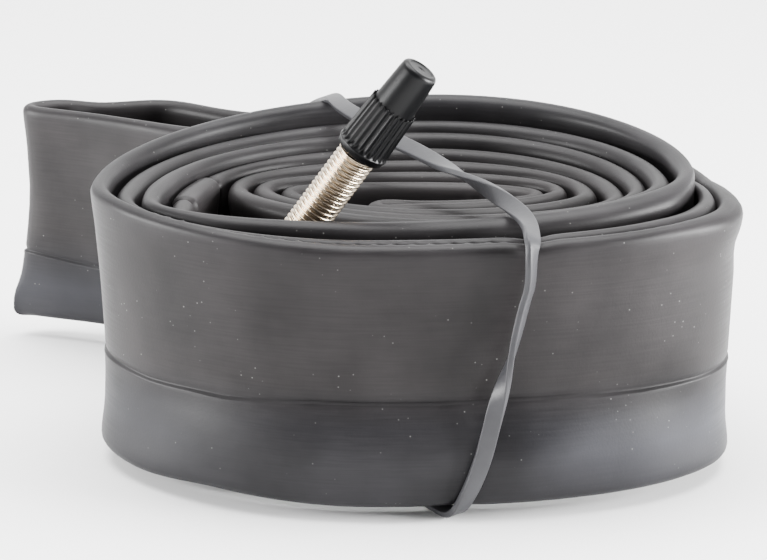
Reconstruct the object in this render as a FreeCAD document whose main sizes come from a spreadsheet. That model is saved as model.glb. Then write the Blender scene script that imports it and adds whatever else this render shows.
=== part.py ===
"""A bicycle inner tube, emptied of air, folded double, rolled up and held by a rubber band.

The pack's own numbers run from its front: x to the right and y to the back from the middle of the
outermost front layer, z up from the lower edge of the outer layers. pack_x, pack_y and pack_z then
bring the model to its origin, on the surface it stands on, under the middle of the whole pack.
The valve's numbers run along its own axis, from the point where the stem comes out of the roll.
"""
import FreeCAD
import Part

import math
import os

from FreeCAD import Placement, Rotation, Vector

DIMENSIONS = {
    "pack_x": (5.5, "shift of the pack to the origin, to the right"),
    "pack_y": (-44.11, "shift of the pack to the origin, to the back"),
    "pack_z": (2.0, "height of the outer layers' lower edge over the surface"),
    "flat_width": (39.0, "width of the tube pressed flat, about 25 mm round when filled"),
    "flat_thickness": (2.0, "two walls pressed together"),
    "wall": (0.8, "butyl wall"),
    "fold_radius": (1.6, "middle line of the tight fold at the roll's centre"),
    "centre_fold_x": (0.5, "left end of the roll's centre"),
    "tail_x": (-62.0, "left end of the free tail"),
    "tail_y": (89.6, "middle of the free tail's fold"),
    "tail_top": (39.0, "top edge of the free tail"),
    "valve_x": (-10.9, "where the valve's axis comes out of the roll"),
    "valve_y": (16.3, "where the valve's axis comes out of the roll"),
    "valve_z": (37.8, "where the valve's axis comes out of the roll"),
    "valve_lean_x": (0.566, "direction of the valve's axis, to the right"),
    "valve_lean_y": (-0.15, "direction of the valve's axis, to the back"),
    "valve_lean_z": (0.81, "direction of the valve's axis, up"),
    "foot_end": (-17.0, "lower end of the stem"),
    "foot_radius": (4.2, "flange that the rubber base grips"),
    "foot_height": (1.2, "flange that the rubber base grips"),
    "thread_radius": (3.0, "M6 x 0.8 stem thread"),
    "stem_end": (13.1, "shoulder that the cap stands on"),
    "stem_bore": (1.2, "air passage up the stem"),
    "socket_radius": (2.35, "stem's socket for the core"),
    "socket_end": (-1.2, "bottom of the stem's socket"),
    "core_radius": (2.3, "core body's lower thread"),
    "core_shoulder": (6.0, "core body's shoulder over the gasket"),
    "core_nose_radius": (1.9, "core body's nose"),
    "core_nose_end": (3.5, "seat for the pin's seal"),
    "core_bore": (1.08, "core body's bore for the pin"),
    "gasket_end": (4.8, "lower face of the core's gasket"),
    "cap_thread_radius": (2.6, "5.2 mm thread for the cap"),
    "core_end": (19.5, "top of the core body"),
    "pin_radius": (1.0, "M2 valve pin"),
    "pin_foot": (1.5, "lower end of the pin"),
    "pin_foot_radius": (1.5, "flange under the seal"),
    "pin_end": (23.6, "top of the pin"),
    "seal_start": (2.3, "lower face of the pin's seal"),
    "seal_radius": (1.75, "rubber disc on the pin"),
    "lock_nut_radius": (2.0, "knurled lock nut"),
    "lock_nut_height": (2.2, "knurled lock nut"),
    "running_gap": (0.05, "radial clearance of the nuts and of the cap"),
    "rim_nut_radius": (5.0, "knurled rim nut"),
    "rim_nut_height": (3.0, "knurled rim nut"),
    "rim_nut_start": (-10.4, "where the rim nut stands on the rubber base"),
    "base_radius": (5.8, "rubber base at the stem's foot"),
    "base_neck_radius": (3.9, "rubber base at its top"),
    "base_neck_end": (-10.6, "top of the rubber base"),
    "pad_thickness": (1.2, "rubber pad bonded to the tube"),
    "pad_low": (9.0, "lower edge of the pad"),
    "pad_high": (26.0, "upper edge of the pad"),
    "cap_ring_radius": (4.0, "smooth ring at the cap's mouth"),
    "cap_ring_height": (1.2, "smooth ring at the cap's mouth"),
    "cap_skirt_radius": (3.9, "ribbed skirt at its wide end"),
    "cap_skirt_end_radius": (3.65, "ribbed skirt at its narrow end"),
    "cap_skirt_height": (7.4, "ribbed skirt"),
    "cap_top_radius": (3.2, "smooth top at its wide end"),
    "cap_end_radius": (2.8, "smooth top at its narrow end"),
    "cap_length": (15.9, "whole cap"),
    "cap_cavity_radius": (2.4, "room for the lock nut"),
    "cap_cavity_end": (24.6, "room for the lock nut"),
    "cap_tip_radius": (1.6, "hollow tip of the cap"),
    "cap_tip_end": (27.9, "hollow tip of the cap"),
    "band_width": (2.6, "flat rubber band"),
    "band_thickness": (1.0, "flat rubber band"),
    "band_corner": (4.0, "bend of the band over the pack's edges"),
}

# Where the layers of the roll cross its four sides, from the outermost layer in: x, y, top edge.
# The first strand of the folded tube takes the odd layers and the second the even ones.
LAYERS = {
    "back": [(8.5, 81.2, 40.0), (8.5, 77.8, 39.5), (8.5, 74.2, 44.0), (7.5, 70.0, 40.5), (7.0, 65.7, 39.5),
             (6.0, 61.0, 38.0), (5.0, 56.0, 37.2), (5.0, 51.6, 36.4), (5.0, 48.2, 35.6)],
    "right": [(51.0, 25.0, 39.5), (48.4, 26.0, 39.5), (45.8, 35.0, 41.5), (41.8, 32.0, 40.0), (38.6, 34.0, 38.6),
              (35.4, 33.0, 37.5), (31.0, 37.0, 37.0), (27.0, 41.0, 36.4), (24.0, 42.0, 35.6)],
    "front": [(-2.0, -2.9, 39.0), (-2.0, -0.3, 39.0), (-2.0, 7.6, 39.7), (-8.0, 10.4, 38.5), (10.0, 16.9, 37.6),
              (9.0, 21.2, 37.2), (8.0, 27.4, 36.5), (6.0, 33.8, 35.8), (6.0, 37.0, 35.4)],
    "left": [(-42.6, 27.6, 41.0), (-38.5, 25.5, 39.5), (-34.8, 21.0, 40.0), (-30.3, 23.0, 38.0),
             (-22.6, 41.5, 37.0), (-18.5, 42.0, 36.6), (-14.5, 42.5, 36.0)],
}
TAIL = {
    "outer": [(-58.5, 92.9), (-48.0, 91.0), (-38.0, 93.0), (-29.0, 87.4), (-21.5, 82.9), (-11.0, 81.3)],
    "inner": [(-58.5, 86.4), (-47.0, 81.3), (-36.0, 74.4), (-23.5, 69.6), (-9.0, 74.4)],
}
# How full a quarter turn is: 0.55 is a quarter of an ellipse, less is straighter, more is squarer.
ELLIPSE = 0.5523
FULLNESS = {
    ("back", 0): 0.64, ("back", 1): 0.64, ("right", 0): 0.62, ("right", 1): 0.62,
    ("front", 0): 0.46, ("front", 1): 0.5, ("front", 4): 0.42, ("front", 5): 0.42, ("front", 6): 0.42,
    ("left", 3): 0.62,
}
# Where the band's inner face turns over the pack's edges.
BAND_CORNERS = [(21.0, -4.0, 39.9), (-6.0, 69.4, 44.9), (-13.0, 84.2, 41.2), (-23.6, 84.2, -0.65),
                (10.6, -4.0, -0.65)]
NEXT_SIDE = {"back": "right", "right": "front", "front": "left", "left": "back"}
HEADING = {"back": Vector(1, 0, 0), "right": Vector(0, -1, 0), "front": Vector(-1, 0, 0), "left": Vector(0, 1, 0)}
SAMPLES = 8

doc = FreeCAD.newDocument("inner_tube")
sheet = doc.addObject("Spreadsheet::Sheet", "Dimensions")


def fill_sheet():
    """Write every driving dimension to the sheet: its name, its value and what it is."""
    for row, (name, (value, note)) in enumerate(DIMENSIONS.items(), start=1):
        sheet.set(f"A{row}", name)
        sheet.set(f"B{row}", str(value))
        sheet.set(f"C{row}", note)
        sheet.setAlias(f"B{row}", name)
    doc.recompute()


def size(name):
    """The value of one cell."""
    return float(sheet.get(name))


def solid(kind, name, **expressions):
    """A Part primitive whose sizes are bound to the sheet."""
    thing = doc.addObject(kind, name)
    for prop, expression in expressions.items():
        path = "Placement.Base.z" if prop == "start" else prop
        thing.setExpression(path, expression)
    return thing


def cylinder(name, radius, start, end):
    """A cylinder on the valve's axis, from start to end."""
    return solid("Part::Cylinder", name, Radius=radius, Height=f"({end}) - ({start})", start=start)


def cone(name, radius, end_radius, start, end):
    """A cone on the valve's axis, from start to end."""
    return solid("Part::Cone", name, Radius1=radius, Radius2=end_radius, Height=f"({end}) - ({start})", start=start)


def joined(name, shapes):
    """One solid out of several that touch."""
    thing = doc.addObject("Part::MultiFuse", name)
    thing.Shapes = shapes
    return thing


def bored(name, label, base, holes):
    """A finished valve piece: a base with its holes cut out."""
    tool = holes[0] if len(holes) == 1 else joined(f"{name}_holes", holes)
    thing = doc.addObject("Part::Cut", name)
    thing.Base = base
    thing.Tool = tool
    thing.Label = label
    return thing


def valve_frame():
    """Where the valve's axis starts, and the turn from +Z to its direction."""
    lean = Vector(size("valve_lean_x"), size("valve_lean_y"), size("valve_lean_z"))
    start = Vector(size("valve_x"), size("valve_y"), size("valve_z"))
    return Placement(start + pack_shift(), Rotation(Vector(0, 0, 1), lean))


def pack_shift():
    """From the pack's own numbers to the model's origin."""
    return Vector(size("pack_x"), size("pack_y"), size("pack_z"))


def layer_point(side, layer):
    """Where a layer crosses a side of the roll, with the height of its top edge as z."""
    return Vector(*LAYERS[side][layer])


def quarter(side, layer, end_layer):
    """One quarter turn, as an exact curve: it leaves one side and meets the next one squarely."""
    start = layer_point(side, layer)
    end = layer_point(NEXT_SIDE[side], end_layer)
    full = FULLNESS.get((side, layer), ELLIPSE)
    run = end - start
    leave = HEADING[side]
    meet = HEADING[NEXT_SIDE[side]]
    level_leave = Vector(leave.x, leave.y, 0)
    first = start + level_leave * (abs(run.dot(leave)) * full)
    second = end - meet * (abs(run.dot(meet)) * full)
    curve = Part.BezierCurve()
    curve.setPoles([start, first, second, end])
    return curve


def strand_quarters(first_layer):
    """The quarter turns of one strand, from the outermost back layer to the roll's centre."""
    quarters = []
    layer = first_layer
    side = "back"
    while True:
        end_layer = layer + 2 if side == "left" else layer
        if end_layer >= len(LAYERS[NEXT_SIDE[side]]):
            return quarters
        quarters.append(quarter(side, layer, end_layer))
        layer = end_layer
        side = NEXT_SIDE[side]


def smooth(points, leave, meet):
    """A smooth curve through points, with its direction given at both ends."""
    curve = Part.BSplineCurve()
    curve.interpolate(Points=points, InitialTangent=leave, FinalTangent=meet, Scale=False)
    return curve


def tail_curve(name, layer, leave):
    """The free tail: from the tail's fold to the strand's first back layer."""
    fold = Vector(size("tail_x"), size("tail_y"), size("tail_top"))
    route = [Vector(x, y, size("tail_top")) for x, y in TAIL[name]]
    return smooth([fold] + route + [layer_point("back", layer)], leave, HEADING["back"])


def centre_curves():
    """The roll's centre: both strands run to the left and meet in a tight fold."""
    outer = layer_point("front", 7)
    inner = layer_point("front", 8)
    radius = size("fold_radius")
    middle = Vector(size("centre_fold_x"), (outer.y + inner.y) / 2, (outer.z + inner.z) / 2)
    left = HEADING["front"]
    low = middle - Vector(0, radius, 0)
    high = middle + Vector(0, radius, 0)
    tip = middle + left * radius
    return [
        smooth([outer, low], left, left),
        smooth([low, tip], left, HEADING["left"]),
        smooth([high, tip], left, HEADING["right"]),
        smooth([inner, high], left, left),
    ]


def sampled(curve):
    """Points and level directions along a curve, evenly spaced in its parameter."""
    first, last = curve.FirstParameter, curve.LastParameter
    steps = [first + (last - first) * i / SAMPLES for i in range(SAMPLES + 1)]
    points = [curve.value(step) for step in steps]
    levels = [curve.tangent(step)[0] for step in steps]
    for level in levels:
        level.z = 0
        level.normalize()
    return points, levels


def rail(points, levels, offset, raised):
    """One long edge of a flat strip: beside its middle line by offset, and raised."""
    beside = [
        point + Vector(-level.y, level.x, 0) * offset + Vector(0, 0, raised)
        for point, level in zip(points, levels)
    ]
    return smooth(beside, levels[0], levels[-1]).toShape()


def strip_faces(points, levels, near, far, low, high):
    """The two sides, the top and the bottom of a flat strip standing on edge."""
    near_low, near_high = rail(points, levels, near, low), rail(points, levels, near, high)
    far_low, far_high = rail(points, levels, far, low), rail(points, levels, far, high)
    sides = [(near_low, near_high), (far_low, far_high), (near_high, far_high), (near_low, far_low)]
    return [Part.makeRuledSurface(one, other) for one, other in sides]


def closed_solid(faces):
    """The solid inside faces that meet edge to edge."""
    shell = Part.makeShell(faces)
    shell.sewShape()
    body = Part.makeSolid(shell)
    if body.Volume < 0:
        body.reverse()
    return body


def ring(curves, thickness, inset):
    """The closed flat ring that a chain of curves makes, cut off level with the surface it stands on."""
    low, high = inset - size("flat_width"), -inset
    faces = []
    for curve in curves:
        points, levels = sampled(curve)
        faces += strip_faces(points, levels, -thickness / 2, thickness / 2, low, high)
    below = Part.makeBox(200, 200, 20, Vector(-100, -50, inset - size("pack_z") - 20))
    return closed_solid(faces).cut(below)


def all_curves():
    """The whole ring: the tail, both strands and the centre."""
    tail = [
        tail_curve("outer", 0, HEADING["left"]),
        tail_curve("inner", 1, HEADING["right"]),
    ]
    return tail + strand_quarters(0) + strand_quarters(1) + centre_curves()


def make_feature(label, shape):
    """A sub-part whose shape is worked out here."""
    thing = doc.addObject("Part::Feature", label)
    thing.Shape = shape
    thing.Placement = Placement(pack_shift(), Rotation())
    return thing


def rounded_loop(corners, radius):
    """A closed loop of straight runs with an arc at each corner."""
    edges = []
    ends = []
    for i, corner in enumerate(corners):
        back = (corners[i - 1] - corner).normalize()
        ahead = (corners[(i + 1) % len(corners)] - corner).normalize()
        half = back.getAngle(ahead) / 2
        reach = radius / math.tan(half)
        inward = (back + ahead).normalize()
        middle = corner + inward * (radius / math.sin(half) - radius)
        start, stop = corner + back * reach, corner + ahead * reach
        edges.append(Part.Arc(start, middle, stop).toShape())
        ends.append((start, stop))
    for i, (start, stop) in enumerate(ends):
        following = ends[(i + 1) % len(ends)][0]
        edges.append(Part.LineSegment(stop, following).toShape())
    return Part.Wire(Part.__sortEdges__(edges))


def band_shape():
    """The rubber band: a flat loop round the pack, all in one leaning plane."""
    corners = [Vector(*corner) for corner in BAND_CORNERS]
    normal = (corners[1] - corners[0]).cross(corners[-1] - corners[0]).normalize()
    width = size("band_width")
    side = [corner - normal * (normal.dot(corner - corners[0]) + width / 2) for corner in corners]
    inner = rounded_loop(side, size("band_corner"))
    outer = inner.makeOffset2D(size("band_thickness"))
    face = Part.Face([outer, inner])
    if not face.isValid():
        face.fix(0.001, 0.001, 0.001)
    return face.extrude(normal * width)


def pad_shape():
    """The rubber pad: a strip from the fourth layer's middle inward, before the layer's own room is cut."""
    curve = quarter("front", 3, 3)
    points, levels = sampled(curve)
    near = 0.0
    far = -size("flat_thickness") / 2 - size("pad_thickness")
    low, high = size("pad_low"), size("pad_high")
    line = [Vector(point.x, point.y, 0) for point in points[1:7]]
    faces = strip_faces(line, levels[1:7], near, far, low, high)
    for point, level in ((line[0], levels[1]), (line[-1], levels[6])):
        across = Vector(-level.y, level.x, 0)
        ends = [point + across * offset + Vector(0, 0, height)
                for offset, height in ((near, low), (near, high), (far, high), (far, low))]
        faces.append(Part.Face(Part.makePolygon(ends + ends[:1])))
    return closed_solid(faces)


def valve_placed(shape):
    """A shape on the valve's axis, brought to its place in the pack's own numbers."""
    placed = shape.copy()
    frame = valve_frame()
    frame.Base = frame.Base - pack_shift()
    placed.Placement = frame
    return placed


def air_passage():
    """The way from the stem's foot through the pad into the tube."""
    foot = valve_frame().multVec(Vector(0, 0, size("foot_end"))) - pack_shift()
    reach = foot.y - layer_point("front", 3).y + 1.0
    return Part.makeCylinder(size("stem_bore"), reach, foot, Vector(-0.12, -1, -0.1))


def base_shape(passage):
    """The rubber base: a pad, and a boot that grips the stem's foot."""
    foot_end, neck_end = size("foot_end"), size("base_neck_end")
    radius = size("base_radius")
    boot = Part.makeCone(radius, size("base_neck_radius"), neck_end - foot_end, Vector(0, 0, foot_end))
    heel = Part.makeSphere(radius, Vector(0, 0, foot_end))
    stem = Part.makeCylinder(size("thread_radius"), neck_end - foot_end + 1, Vector(0, 0, foot_end))
    flange = Part.makeCylinder(size("foot_radius"), size("foot_height"), Vector(0, 0, foot_end))
    rubber = valve_placed(boot.fuse(heel)).fuse(pad_shape())
    return rubber.cut([outer_layers(), valve_placed(stem.fuse(flange)), passage])


def outer_layers():
    """The room of the fourth layer and all that lies outside it, which the boot mustn't enter."""
    points, levels = sampled(quarter("front", 3, 3))
    near = -size("flat_thickness") / 2
    line = rail([Vector(point.x, point.y, 0) for point in points], levels, near, 0)
    first, last = line.Vertexes[0].Point, line.Vertexes[-1].Point
    far_left, far_front = -70.0, -30.0
    outside = Part.makePolygon([last, Vector(far_left, last.y, 0), Vector(far_left, far_front, 0),
                                Vector(first.x, far_front, 0), first])
    return Part.Face(Part.Wire([line] + outside.Edges)).extrude(Vector(0, 0, size("flat_width")))


def make_stem():
    """The threaded stem with its foot, its air passage and the socket for the core."""
    body = joined("stem_body", [
        cylinder("stem_thread", "Dimensions.thread_radius", "Dimensions.foot_end", "Dimensions.stem_end"),
        cylinder("stem_foot", "Dimensions.foot_radius", "Dimensions.foot_end",
                 "Dimensions.foot_end + Dimensions.foot_height"),
    ])
    return bored("stem", "valve_stem", body, [
        cylinder("stem_passage", "Dimensions.stem_bore", "Dimensions.foot_end - 1", "Dimensions.socket_end + 1"),
        cylinder("stem_socket", "Dimensions.socket_radius", "Dimensions.socket_end", "Dimensions.stem_end + 1"),
    ])


def make_rim_nut():
    """The nut that holds the stem in the rim, down on the rubber base."""
    start = "Dimensions.rim_nut_start"
    end = "Dimensions.rim_nut_start + Dimensions.rim_nut_height"
    return bored("rim_nut", "rim_nut", cylinder("rim_nut_body", "Dimensions.rim_nut_radius", start, end), [
        cylinder("rim_nut_bore", "Dimensions.thread_radius + Dimensions.running_gap", f"{start} - 1", f"{end} + 1"),
    ])


def make_core():
    """The valve core's body and the gasket round its nose."""
    body = joined("core_solid", [
        cylinder("core_nose", "Dimensions.core_nose_radius", "Dimensions.core_nose_end", "Dimensions.core_shoulder"),
        cylinder("core_thread", "Dimensions.core_radius", "Dimensions.core_shoulder", "Dimensions.stem_end"),
        cylinder("core_top", "Dimensions.cap_thread_radius", "Dimensions.stem_end", "Dimensions.core_end"),
    ])
    core = bored("core", "core_body", body, [
        cylinder("core_bore_hole", "Dimensions.core_bore", "Dimensions.core_nose_end - 1", "Dimensions.core_end + 1"),
    ])
    gasket = bored("gasket", "core_gasket", cylinder(
        "gasket_body", "Dimensions.socket_radius", "Dimensions.gasket_end", "Dimensions.core_shoulder"), [
        cylinder("gasket_hole", "Dimensions.core_nose_radius", "Dimensions.gasket_end - 1",
                 "Dimensions.core_shoulder + 1"),
    ])
    return [core, gasket]


def make_pin():
    """The pin, its rubber seal and the nut that locks it."""
    pin = joined("pin", [
        cylinder("pin_rod", "Dimensions.pin_radius", "Dimensions.pin_foot", "Dimensions.pin_end"),
        cylinder("pin_flange", "Dimensions.pin_foot_radius", "Dimensions.pin_foot", "Dimensions.seal_start"),
    ])
    pin.Label = "valve_pin"
    seal = bored("seal", "pin_seal", cylinder(
        "seal_body", "Dimensions.seal_radius", "Dimensions.seal_start", "Dimensions.core_nose_end"), [
        cylinder("seal_hole", "Dimensions.pin_radius", "Dimensions.seal_start - 1", "Dimensions.core_nose_end + 1"),
    ])
    top = "Dimensions.core_end + Dimensions.lock_nut_height"
    nut = bored("lock_nut", "lock_nut", cylinder(
        "lock_nut_body", "Dimensions.lock_nut_radius", "Dimensions.core_end", top), [
        cylinder("lock_nut_bore", "Dimensions.pin_radius + Dimensions.running_gap", "Dimensions.core_end - 1",
                 f"{top} + 1"),
    ])
    return [pin, seal, nut]


def make_cap():
    """The dust cap: a ring, a skirt and a smooth top, hollow for the core and the lock nut."""
    mouth = "Dimensions.stem_end"
    skirt = f"{mouth} + Dimensions.cap_ring_height"
    shoulder = f"{skirt} + Dimensions.cap_skirt_height"
    body = joined("cap_body", [
        cylinder("cap_ring", "Dimensions.cap_ring_radius", mouth, skirt),
        cone("cap_skirt", "Dimensions.cap_skirt_radius", "Dimensions.cap_skirt_end_radius", skirt, shoulder),
        cone("cap_top", "Dimensions.cap_top_radius", "Dimensions.cap_end_radius", shoulder,
             f"{mouth} + Dimensions.cap_length"),
    ])
    return bored("cap", "dust_cap", body, [
        cylinder("cap_bore", "Dimensions.cap_thread_radius + Dimensions.running_gap", f"{mouth} - 1",
                 "Dimensions.core_end"),
        cylinder("cap_cavity", "Dimensions.cap_cavity_radius", "Dimensions.core_end - 1",
                 "Dimensions.cap_cavity_end"),
        cylinder("cap_tip", "Dimensions.cap_tip_radius", "Dimensions.cap_cavity_end - 1", "Dimensions.cap_tip_end"),
    ])


def make_tube(band, passage):
    """The tube: the flat ring with its air space, pressed in where the band holds it."""
    curves = all_curves()
    thickness, wall = size("flat_thickness"), size("wall")
    outside = ring(curves, thickness, 0.0)
    inside = ring(curves, thickness - 2 * wall, wall)
    length = sum(curve.length() for curve in curves)
    print(f"ring length {length:.0f} mm, outside {outside.Volume:.0f} mm3, air space {inside.Volume:.0f} mm3")
    return outside.cut([inside, band, passage])


def check(things):
    """Stop if any object failed, or if a sub-part isn't one sound solid."""
    for thing in doc.Objects:
        if "Invalid" in thing.State or "Error" in thing.State:
            raise RuntimeError(f"{thing.Name} failed: {thing.State}")
    for thing in things:
        if thing.Shape.isNull() or not thing.Shape.isValid() or len(thing.Shape.Solids) != 1:
            raise RuntimeError(f"{thing.Label} is not one valid solid: {len(thing.Shape.Solids)}")


fill_sheet()
valve_parts = [make_stem(), make_rim_nut(), *make_core(), *make_pin(), make_cap()]
for part in valve_parts:
    part.Placement = valve_frame()
band_solid = band_shape()
passage_solid = air_passage()
soft_parts = [
    make_feature("tube", make_tube(band_solid, passage_solid)),
    make_feature("valve_base", base_shape(passage_solid)),
    make_feature("rubber_band", band_solid),
]
doc.recompute()
parts = soft_parts + valve_parts
check(parts)
os.makedirs("parts", exist_ok=True)
for part in parts:
    part.Shape.exportStep(f"parts/{part.Label}.step")
    box = part.Shape.BoundBox
    print(f"{part.Label}: {part.Shape.Volume:.1f} mm3, x {box.XMin:.2f} {box.XMax:.2f}, "
          f"y {box.YMin:.2f} {box.YMax:.2f}, z {box.ZMin:.2f} {box.ZMax:.2f}")
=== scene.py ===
"""The looks of a bicycle inner tube, rolled up and held by a rubber band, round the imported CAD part.

Lengths are in mm until they reach a mesh. The roll's own numbers run from its front: x to the right and
y to the back from the middle of the outermost front layer, z up from the outer layers' lower edge.
SHIFT takes them to the row frame. The valve's numbers run along its own axis.
"""
import math

import bmesh
import bpy
import numpy as np
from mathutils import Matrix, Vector


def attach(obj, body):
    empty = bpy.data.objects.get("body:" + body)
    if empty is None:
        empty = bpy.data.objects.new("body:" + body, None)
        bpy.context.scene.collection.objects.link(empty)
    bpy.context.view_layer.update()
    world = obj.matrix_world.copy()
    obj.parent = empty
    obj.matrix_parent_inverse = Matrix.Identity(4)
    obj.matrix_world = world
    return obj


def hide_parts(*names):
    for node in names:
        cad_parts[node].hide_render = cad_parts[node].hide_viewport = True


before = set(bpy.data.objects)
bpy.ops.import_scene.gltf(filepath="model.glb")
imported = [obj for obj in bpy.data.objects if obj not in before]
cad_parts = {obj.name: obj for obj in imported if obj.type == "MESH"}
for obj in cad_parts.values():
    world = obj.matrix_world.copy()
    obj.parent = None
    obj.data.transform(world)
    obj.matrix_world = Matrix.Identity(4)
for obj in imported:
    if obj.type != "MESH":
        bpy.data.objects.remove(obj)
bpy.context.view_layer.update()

rng = np.random.default_rng(11)

MM = 0.001
SHIFT = np.array((5.5, -44.11, 2.0))
FLAT_WIDTH = 39.0
FLOOR = -2.0

# ---------------------------------------------------------------- the tube's route
# Where the layers cross the roll's four sides, from the outermost in: x, y, top edge. The first strand
# of the folded tube takes the even indexes and the second the odd ones.
LAYERS = {
    "back": [(8.5, 81.2, 40.0), (8.5, 77.8, 39.5), (8.5, 74.2, 44.0), (7.5, 70.0, 40.5), (7.0, 65.7, 39.5),
             (6.0, 61.0, 38.0), (5.0, 56.0, 37.2), (5.0, 51.6, 36.4), (5.0, 48.2, 35.6)],
    "right": [(51.0, 25.0, 39.5), (48.4, 26.0, 39.5), (46.5, 35.0, 41.5), (41.8, 32.0, 40.0),
              (38.6, 34.0, 38.6), (35.4, 33.0, 37.5), (31.0, 37.0, 37.0), (27.0, 41.0, 36.4),
              (24.0, 42.0, 35.6)],
    "front": [(-2.0, -2.9, 39.0), (-2.0, -0.3, 39.0), (-2.0, 7.6, 39.7), (-8.0, 10.4, 38.5),
              (10.0, 16.9, 37.6), (9.0, 21.2, 37.2), (8.0, 27.4, 36.5), (6.0, 33.8, 35.8), (6.0, 37.0, 35.4)],
    "left": [(-42.6, 27.6, 41.0), (-38.5, 25.5, 39.5), (-34.8, 21.0, 40.0), (-30.3, 23.0, 38.0),
             (-22.6, 41.5, 37.0), (-18.5, 42.0, 36.6), (-14.5, 42.5, 36.0)],
}
TAIL = {
    "outer": [(-58.5, 92.9), (-48.0, 91.0), (-38.0, 93.0), (-29.0, 87.4), (-21.5, 82.9), (-11.0, 81.3)],
    "inner": [(-58.5, 86.4), (-47.0, 81.3), (-36.0, 74.4), (-23.5, 69.6), (-9.0, 74.4)],
}
TAIL_FOLD = (-62.0, 89.6, 39.0)
CENTRE_FOLD_X = 0.5
CENTRE_FOLD_RADIUS = 1.6
ELLIPSE = 0.5523
SAMPLES = 16000
FAR = 99.0
NUB_SPACING = 2.7
SPLICE_START = 28.2
SPLICE_END = 41.2
SEAM_HEIGHT = 15.6
FULLNESS = {
    ("back", 0): 0.64, ("back", 1): 0.64, ("back", 2): 0.58,
    ("right", 0): 0.62, ("right", 1): 0.62, ("right", 2): 0.58,
    ("front", 0): 0.46, ("front", 1): 0.5, ("front", 4): 0.42, ("front", 5): 0.42, ("front", 6): 0.42,
    ("left", 3): 0.62,
}
NEXT_SIDE = {"back": "right", "right": "front", "front": "left", "left": "back"}
HEADING = {"back": (1, 0, 0), "right": (0, -1, 0), "front": (-1, 0, 0), "left": (0, 1, 0)}


def bezier(start, first, second, end, count=60):
    t = np.linspace(0, 1, count + 1)[:, None]
    return (1 - t) ** 3 * start + 3 * (1 - t) ** 2 * t * first + 3 * (1 - t) * t * t * second + t ** 3 * end


def quarter(side, layer, end_layer):
    """One quarter turn: it leaves one side and meets the next one squarely."""
    start = np.array(LAYERS[side][layer])
    end = np.array(LAYERS[NEXT_SIDE[side]][end_layer])
    full = FULLNESS.get((side, layer), ELLIPSE)
    leave, meet = np.array(HEADING[side]), np.array(HEADING[NEXT_SIDE[side]])
    run = end - start
    return bezier(start, start + leave * abs(run @ leave) * full, end - meet * abs(run @ meet) * full, end)


def strand(first_layer):
    """The quarter turns of one strand, from the outermost back layer in."""
    found = []
    layer, side = first_layer, "back"
    while True:
        end_layer = layer + 2 if side == "left" else layer
        if end_layer >= len(LAYERS[NEXT_SIDE[side]]):
            return found
        found.append(((side, layer), quarter(side, layer, end_layer)))
        layer, side = end_layer, NEXT_SIDE[side]


def smooth_through(points, leave, meet, per_span=16):
    """A smooth curve through points, with its direction given at both ends."""
    points = np.array(points, float)
    spans = np.linalg.norm(np.diff(points, axis=0), axis=1)
    slopes = np.diff(points, axis=0) / spans[:, None]
    n = len(points)
    grid = np.eye(n)
    known = np.zeros((n, 3))
    known[0], known[-1] = leave, meet
    for i in range(1, n - 1):
        grid[i, i - 1] = spans[i]
        grid[i, i] = 2 * (spans[i - 1] + spans[i])
        grid[i, i + 1] = spans[i - 1]
        known[i] = 3 * (spans[i] * slopes[i - 1] + spans[i - 1] * slopes[i])
    tangents = np.linalg.solve(grid, known)
    runs = []
    for i in range(n - 1):
        reach = spans[i] / 3
        leaving = points[i] + tangents[i] * reach
        meeting = points[i + 1] - tangents[i + 1] * reach
        span = bezier(points[i], leaving, meeting, points[i + 1], per_span)
        runs.append(span[: -1 if i < n - 2 else None])
    return np.concatenate(runs)


def tail(name, layer, leave):
    points = [TAIL_FOLD] + [(x, y, TAIL_FOLD[2]) for x, y in TAIL[name]] + [LAYERS["back"][layer]]
    return smooth_through(points, leave, HEADING["back"])


def centre():
    """The roll's centre: both strands run to the left and meet in a tight fold."""
    outer, inner = np.array(LAYERS["front"][7]), np.array(LAYERS["front"][8])
    middle = np.array((CENTRE_FOLD_X, (outer[1] + inner[1]) / 2, (outer[2] + inner[2]) / 2))
    up = np.array((0, CENTRE_FOLD_RADIUS, 0))
    tip = middle - (CENTRE_FOLD_RADIUS, 0, 0)
    left = HEADING["front"]
    way_in = [smooth_through([inner, middle + up], left, left),
              smooth_through([middle + up, tip], left, (0, -1, 0))]
    way_out = [smooth_through([outer, middle - up], left, left),
               smooth_through([middle - up, tip], left, (0, 1, 0))]
    return [("centre", piece) for piece in way_in] + [("centre", piece[::-1]) for piece in way_out[::-1]]


def whole_ring():
    """The closed route of the tube's top edge, as dense points, with the stretch that each point is in."""
    first = [(("tail", 0), tail("outer", 0, HEADING["left"]))] + strand(0)
    second = [(("tail", 1), tail("inner", 1, HEADING["right"]))] + strand(1)
    stretches = first + centre() + [(key, points[::-1]) for key, points in second[::-1]]
    points = np.concatenate([points[:-1] for key, points in stretches])
    keys = [key for key, points in stretches for i in range(len(points) - 1)]
    return points, keys


def smoothstep(low, high, value):
    t = np.clip((value - low) / (high - low), 0, 1)
    return t * t * (3 - 2 * t)


def averaged(values, reach):
    """A running average round the closed ring."""
    total = sum(np.roll(values, k, axis=0) for k in range(-reach, reach + 1))
    return total / (2 * reach + 1)


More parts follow.
